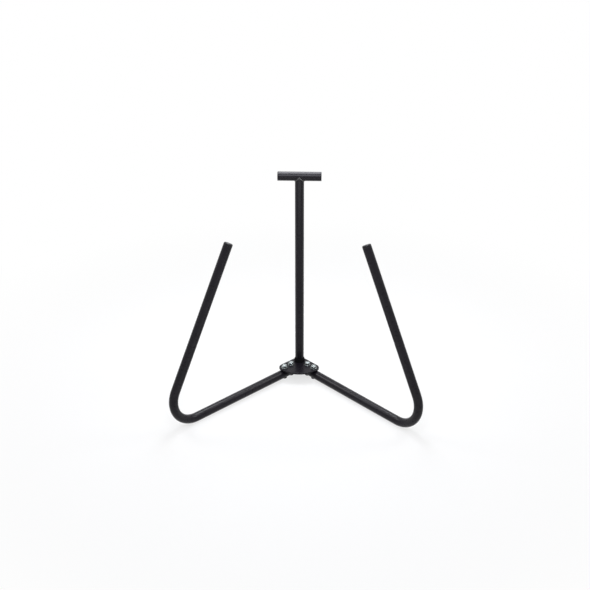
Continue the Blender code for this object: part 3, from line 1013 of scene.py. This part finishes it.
@dataclass(frozen=True)
class Arm:
    """Bent tube: a run along the floor, one bend, and an upright that leans back, with a cap on its tip."""

    at: Measures
    side: Side
    sleeve: Sleeve = Sleeve()
    cap: MouldedPlug = MouldedPlug(head_height=0.006, edge_radius=0.0035)
    reach: float = 0.357
    inner_end: float = 0.0160
    bend_radius: float = 0.069
    lean: float = math.radians(28)
    upright_length: float = 0.390
    head_edge: float = 0.0615
    hub_reach: float = 0.075
    hub_pitch: float = 0.0015
    run_rows: int = 24
    bend_rows: int = 72
    upright_rows: int = 30
    bit_reach: float = 0.06
    bit_columns: int = 44

    @property
    def fall(self) -> float:
        """Angle at which the run falls outwards, so that bolt heads and bend stand on the floor together.

        Returns:
            Angle from upright of the line from a head's edge to the bend's centre, less the angle whose
            cosine is the bend's outer radius over that line's length.
        """
        outer = self.bend_radius + TUBE_RADIUS
        across = self.reach - self.head_edge
        down = outer - HEAD_HEIGHT - FIT_GAP
        return math.atan2(across, down) - math.acos(outer / math.hypot(across, down))

    @property
    def run(self) -> float:
        """Length of the straight run from the inner end to the bend."""
        return (self.reach - self.bend_radius * math.sin(self.fall) - self.inner_end) / math.cos(self.fall)

    @property
    def sweep(self) -> float:
        """Angle through which the bend turns."""
        return self.fall + QUARTER + self.lean

    @property
    def bend_end(self) -> float:
        """Station where the bend ends and the upright begins."""
        return self.run + self.bend_radius * self.sweep

    @property
    def tube_length(self) -> float:
        """Length of the whole centre line."""
        return self.bend_end + self.upright_length - self.cap.head_height - FIT_GAP

    def centre_line(self, station: Array) -> tuple[Array, Array, Array]:
        """Centre line in the arm's upright plane.

        The tangent's angle is (station - run) / bend radius, held between 0 and the sweep, less the fall. A
        point is the bend's centre plus its radius along (sin, -cos) of that angle, plus what lies before the
        bend or beyond it along the tangent.

        Args:
            station: Column of distances from the inner end.

        Returns:
            Points, directions in the plane and directions across it, each of shape (n, 3).
        """
        past = station - self.run
        bent = np.clip(past, 0.0, self.bend_radius * self.sweep)
        angle = bent / self.bend_radius - self.fall
        sine, cosine, beyond = np.sin(angle), np.cos(angle), past - bent
        ahead = self.reach + self.bend_radius * sine + beyond * cosine
        height = self.bend_radius + TUBE_RADIUS - self.bend_radius * cosine + beyond * sine
        plan = raised(directions(self.side.value * ARM_ANGLE - QUARTER), 0.0)
        points = self.at.post_axis + ahead * plan + height * UP
        return points, cosine * UP - sine * plan, np.cross(UP, plan) + 0 * points

    def tube(self) -> Piece:
        """Sleeve along the centre line, drilled for its two bolts.

        Its rows lie close together under the plate and round the bend, and half as close inside.

        Returns:
            The arm's object.
        """
        hub = np.arange(0.0, self.hub_reach, self.hub_pitch)
        run = np.linspace(self.hub_reach, self.run, self.run_rows)[:-1]
        bend = np.linspace(self.run, self.bend_end, self.bend_rows)
        upright = np.linspace(self.bend_end, self.tube_length, self.upright_rows)[1:]
        outside = np.concatenate([hub, run, bend, upright])
        grid, marks = self.sleeve.grid(self.centre_line, outside, np.append(outside[:-1:2], outside[-1]))
        arm = Shell().add_grid(grid, marks, close_rows=True).build(f"{self.side.word}_arm")
        for place in Place:
            self.drill(arm, middle_of(f"{self.side.word}_{place.value}_bolt"))
        return arm

    def drill(self, arm: Piece, middle: Array) -> None:
        """Cuts one upright hole right through the tube, by the difference with a round bit.

        Args:
            arm: The tube to drill.
            middle: A point on the hole's axis.
        """
        reach, radius = self.bit_reach, BOLT_HOLE_RADIUS
        profile = np.array([(0.0, reach), (radius, reach), (radius, -reach), (0.0, -reach)])
        bit = Shell().add_grid(turned(profile, self.bit_columns) + middle).build("bit")
        cut = arm.modifiers.new("hole", "BOOLEAN")
        cut.object = bit
        cut.solver = "EXACT"
        graph = bpy.context.evaluated_depsgraph_get()
        drilled = bpy.data.meshes.new_from_object(arm.evaluated_get(graph))
        arm.modifiers.clear()
        arm.data = drilled
        bpy.data.objects.remove(bit)

    def build(self, finishes: Finishes) -> None:
        """Builds and dresses the arm and its cap, which stands a fit gap beyond the tube's end.

        Args:
            finishes: Finishes to dress them with.
        """
        finishes.dress(self.tube(), Slot.COAT, f"{self.side.word}_arm_tube")
        tip, beyond = self.centre_line(self.tube_length + np.array([[0.0], [1.0]]))[0]
        axis = beyond - tip
        cap = self.cap.piece(f"{self.side.word}_upright_end_cap", tip + axis * FIT_GAP, axis)
        finishes.dress(cap, Slot.PLASTIC, f"{self.side.word}_upright_cap")


@dataclass(frozen=True)
class Fastener:
    """Socket bolt up through arm and plate, with a flat washer and a hexagon nut on top."""

    side: Side
    place: Place
    nut_turn: float
    shank_radius: float = 0.0039
    shank_fillet: float = 0.0004
    thread_pitch: float = 0.00125
    thread_depth: float = 0.0007
    thread_length: float = 0.024
    thread_rows: int = 193
    thread_gain: float = 1.35
    thread_flat: float = 0.12
    thread_start: float = 0.0015
    tip_chamfer: float = 0.0010
    head_radius: float = 0.0065
    head_flat: float = 0.0046
    head_edge: float = 0.0010
    dome_steps: int = 9
    # Painted shade on the bolt head fades out between one and this many head heights up
    head_shade_reach: float = 2.0
    socket_width: float = 0.005
    socket_depth: float = 0.0016
    socket_dish: float = 0.0003
    socket_taper: float = 0.97
    ease: float = 0.0003
    small_ease: float = 0.0002
    nut_width: float = 0.013
    nut_bore: float = 0.0042
    nut_sink: float = 0.0006
    nut_sink_drop: float = 0.8
    nut_slope: float = math.tan(math.radians(30))
    nut_circle_share: float = 0.955
    nut_rim: float = 0.0004
    chamfer_steps: int = 7
    washer_radius: float = 0.008
    washer_bore: float = 0.0044
    washer_round: float = 0.0005
    columns: int = 96
    bolt_sharp: float = 50.0
    nut_sharp: float = 24.0

    @property
    def stem(self) -> str:
        """The start of this fastener's node names."""
        return f"{self.side.word}_{self.place.value}"

    def extent(self, kind: str) -> tuple[Array, float, float]:
        """A node's axis on the floor, and its lowest and highest level."""
        low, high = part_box(f"{self.stem}_{kind}")
        return middle_of(f"{self.stem}_{kind}") * PLAN, low.z, high.z

    def bolt(self) -> Piece:
        """Polar grid from the socket's floor over the domed head and up the threaded shank to the tip.

        The socket's rows take a hexagon's distance from the axis, and the dome's a quarter oval. The thread's
        take the shank's radius less a groove, held under the tip's chamfer. The groove is a triangle wave of
        height / pitch - turn / full turn, cut flat at crests and roots, and grows over the first pitch. The
        mark is 1 on the head and fades out above it.

        Returns:
            The bolt's object.
        """
        axis, _, high = self.extent("bolt")
        angle = turns(self.columns)
        hexagon = soft_hexagon(angle, self.socket_width)
        deep, ease, small, shank = self.socket_depth, self.ease, self.small_ease, self.shank_radius
        swing = np.linspace(QUARTER, 0.0, self.dome_steps)
        dome = self.head_flat + (self.head_radius - self.head_flat) * np.cos(swing)
        dome_height = (HEAD_HEIGHT - self.head_edge) * (1 - np.sin(swing))
        foot = high - self.thread_length
        climb = np.linspace(foot, high, self.thread_rows)[:, None]
        wave = np.abs(((climb / self.thread_pitch - angle / FULL_TURN) % 1.0) * 2 - 1)
        groove = self.thread_depth * np.clip(wave * self.thread_gain - self.thread_flat, 0.0, 1.0)
        grown = np.clip((climb - foot) / self.thread_pitch, 0.0, 1.0)
        thread = np.minimum(shank - groove * grown, shank - self.tip_chamfer + high - climb)
        socket = [0 * hexagon, hexagon * self.socket_taper, hexagon, hexagon, hexagon + ease]
        head = [self.head_flat - ease, *dome, self.head_radius, self.head_radius - small]
        neck = [shank + self.shank_fillet, shank, shank]
        distance = np.concatenate([socket, ringed(head + neck, angle), thread, ringed([0.0], angle)])
        heights = [deep + self.socket_dish, deep, deep - small, ease, 0.0]
        heights += [0.0, *dome_height, HEAD_HEIGHT - small, HEAD_HEIGHT]
        heights += [HEAD_HEIGHT, HEAD_HEIGHT + self.shank_fillet]
        heights += [foot - self.thread_start, *climb[:, 0], high]
        height = ringed(heights, angle)
        # Painted shade: 1 on the bolt head under the arm, fading out above it; the zinc finish paints it dark
        shaded_head = np.clip(self.head_shade_reach - height / HEAD_HEIGHT, 0.0, 1.0)
        shell = Shell().add_grid(polar(distance, angle, height) + axis, shaded_head)
        return shell.build(f"{self.stem}_socket_bolt", self.bolt_sharp)

    def washer(self) -> Piece:
        """Flat ring turned from a profile with its stamped edges rounded, more at the top than underneath.

        Returns:
            The washer's object.
        """
        axis, low, high = self.extent("washer")
        bore, outer = self.washer_bore, self.washer_radius
        seam = ((bore + outer) / 2, high, 0.0)
        corners = [
            seam,
            (outer, high, self.washer_round),
            (outer, low, self.small_ease),
            (bore, low, self.small_ease),
            (bore, high, self.ease),
            seam,
        ]
        grid = turned(rounded(corners), self.columns) + axis
        return Shell().add_grid(grid).build(f"{self.stem}_flat_washer")

    def nut(self) -> Piece:
        """Polar grid round the nut's wall: countersink, ring, chamfer, flat, and the same below.

        A chamfer row lies at a share of the way from the chamfer's circle to the hexagon, and drops by the
        slope times its distance beyond the circle, so the chamfer meets the flats in curves.

        Returns:
            The nut's object.
        """
        axis, low, high = self.extent("nut")
        half, bore, sink = (high - low) / 2, self.nut_bore, self.nut_sink
        angle = turns(self.columns)
        hexagon = soft_hexagon(angle - self.nut_turn, self.nut_width)
        circle = self.nut_width / 2 * self.nut_circle_share
        chamfer = circle + np.linspace(0.0, 1.0, self.chamfer_steps)[:, None] * (hexagon - circle)
        drop = self.nut_slope * (chamfer - circle)
        upper = np.concatenate([ringed([bore, bore, bore + sink, circle - self.nut_rim], angle), chamfer])
        sunk = half - sink * self.nut_sink_drop
        level = np.concatenate([ringed([0.0, sunk, half, half], angle), half - drop])
        distance = np.concatenate([upper, upper[:0:-1]])
        height = np.concatenate([level, -level[:0:-1]]) + (high + low) / 2
        shell = Shell().add_grid(polar(distance, angle, height) + axis, close_rows=True)
        return shell.build(f"{self.stem}_hex_nut", self.nut_sharp)

    def build(self, finishes: Finishes) -> None:
        """Builds and dresses the bolt, the washer and the nut."""
        for kind, piece in (("bolt", self.bolt()), ("washer", self.washer()), ("nut", self.nut())):
            finishes.dress(piece, Slot.ZINC, f"{self.stem}_{kind}")


@dataclass(frozen=True)
class Lamp:
    """A soft panel lamp, aimed at a point."""

    name: str
    place: Triple
    aim: Triple
    width: float
    depth: float
    radiance: float
    colour: Colour = WHITE

    def build(self) -> None:
        """Makes the lamp, its power worked out as radiance times pi times its area."""
        light = bpy.data.lights.new(self.name, "AREA")
        light.shape = "RECTANGLE"
        light.size, light.size_y = self.width, self.depth
        light.energy = self.radiance * math.pi * self.width * self.depth
        light.color = self.colour
        lamp = placed(bpy.data.objects.new(self.name, light))
        lamp.location = self.place
        lamp.rotation_euler = (Vector(self.aim) - Vector(self.place)).to_track_quat("-Z", "Y").to_euler()


@dataclass(frozen=True)
class Studio:
    """Pale floor, white surround, soft panel lamps and the camera."""

    at: Measures
    focal_pixels: float = 1200.0
    sensor: float = 36.0
    off_centre_pixels: float = 4.5
    camera_distance: float = 2.78665
    camera_height: float = 1.69427
    pitch: float = math.radians(27.71)
    turn: float = math.radians(1.79)
    floor_size: float = 60.0
    floor_level: float = -0.0002
    floor_pale: Colour = (0.86, 0.86, 0.86)
    floor_glow: Pair = (0.72, 1.0)
    floor_reach: Pair = (0.4, 1.2)
    fill: float = 0.24
    lamps: tuple[Lamp, ...] = (
        Lamp("overhead_panel", (0.0, 0.362, 1.071), (0.0, 0.147, 0.565), 0.34, 0.61, 12.5, (0.93, 0.95, 1.0)),
        Lamp("left_panel", (-1.18, 0.40, 1.34), (0.1, 0.0, 0.0), 0.5, 0.5, 9.5),
        Lamp("right_panel", (1.18, 0.40, 1.34), (-0.1, 0.0, 0.0), 0.5, 0.5, 9.5),
        Lamp("front_panel", (0.0, -0.91, 1.63), (0.0, 0.147, 0.565), 0.50, 0.85, 8.5, (0.90, 0.93, 1.0)),
        Lamp("low_front_panel", (0.0, -1.25, 0.01), (0.0, -1.25, 1.0), 2.4, 0.5, 3.0),
    )

    def camera(self) -> None:
        """Camera on a circle round the post, turned and pitched as the photograph's."""
        data = bpy.data.cameras.new("camera")
        data.sensor_width = self.sensor
        data.lens = self.focal_pixels / FRAME_PIXELS * self.sensor
        data.shift_x = -self.off_centre_pixels / FRAME_PIXELS
        camera = placed(bpy.data.objects.new("camera", data))
        back = self.camera_distance * np.array([math.sin(self.turn), -math.cos(self.turn), 0.0])
        camera.location = self.at.post_axis + back + self.camera_height * UP
        camera.rotation_euler = (QUARTER - self.pitch, 0.0, self.turn)
        bpy.context.scene.camera = camera

    def surround(self) -> None:
        """White world to the eye and in reflections, and a soft even fill elsewhere."""
        world = bpy.data.worlds.new("surround")
        bpy.context.scene.world = world
        sheet = NodeSheet(world)
        levels = ({"Color": WHITE, "Strength": strength} for strength in (self.fill, 1.0))
        fill, white = (sheet.node("Background", feeds).outputs[0] for feeds in levels)
        sheet.node("OutputWorld", {"Surface": sheet.mixed(sheet.seen(), fill, white)})

    def floor(self) -> None:
        """Pale floor, part matt to take the shadow and part white as the surround, which it becomes far out.

        The white share is a smooth step of the distance from the middle, for rays that are seen.
        """
        corners = self.floor_size / 2 * np.array([(-1, -1), (1, -1), (1, 1), (-1, 1)])
        mesh = bpy.data.meshes.new("floor")
        mesh.from_pydata(raised(corners, self.floor_level).tolist(), [], [(0, 1, 2, 3)])
        floor = placed(bpy.data.objects.new("floor", mesh))
        sheet = NodeSheet(bpy.data.materials.new("pale_floor"))
        length = sheet.node("VectorMath", {0: sheet.place}, operation="LENGTH").outputs["Value"]
        fade = sheet.span(length, self.floor_reach, self.floor_glow, interpolation_type="SMOOTHSTEP")
        matt = sheet.node("BsdfDiffuse", {"Color": self.floor_pale}).outputs[0]
        glow = sheet.node("Emission", {}).outputs[0]
        share = sheet.maths("MULTIPLY", sheet.seen(), fade)
        sheet.node("OutputMaterial", {"Surface": sheet.mixed(share, matt, glow)})
        mesh.materials.append(sheet.owner)

    def build(self) -> None:
        """Sets the view transform and makes the camera, floor, surround and lamps."""
        bpy.context.scene.view_settings.view_transform = "Standard"
        self.camera()
        self.floor()
        self.surround()
        for lamp in self.lamps:
            lamp.build()


def main() -> None:
    """Builds the stand from the post outwards, then the studio."""
    logging.basicConfig(level=logging.INFO, format="%(name)s: %(message)s")
    at = Measures.read()
    finishes = Finishes.made()
    Post(at).build(finishes)
    Handle(at).build(finishes)
    HubPlate(at).build(finishes)
    for side in Side:
        Arm(at, side).build(finishes)
        for place in Place:
            Fastener(side, place, math.radians(NUT_TURNS[side, place])).build(finishes)
    Studio(at).build()


if __name__ == "__main__":
    main()
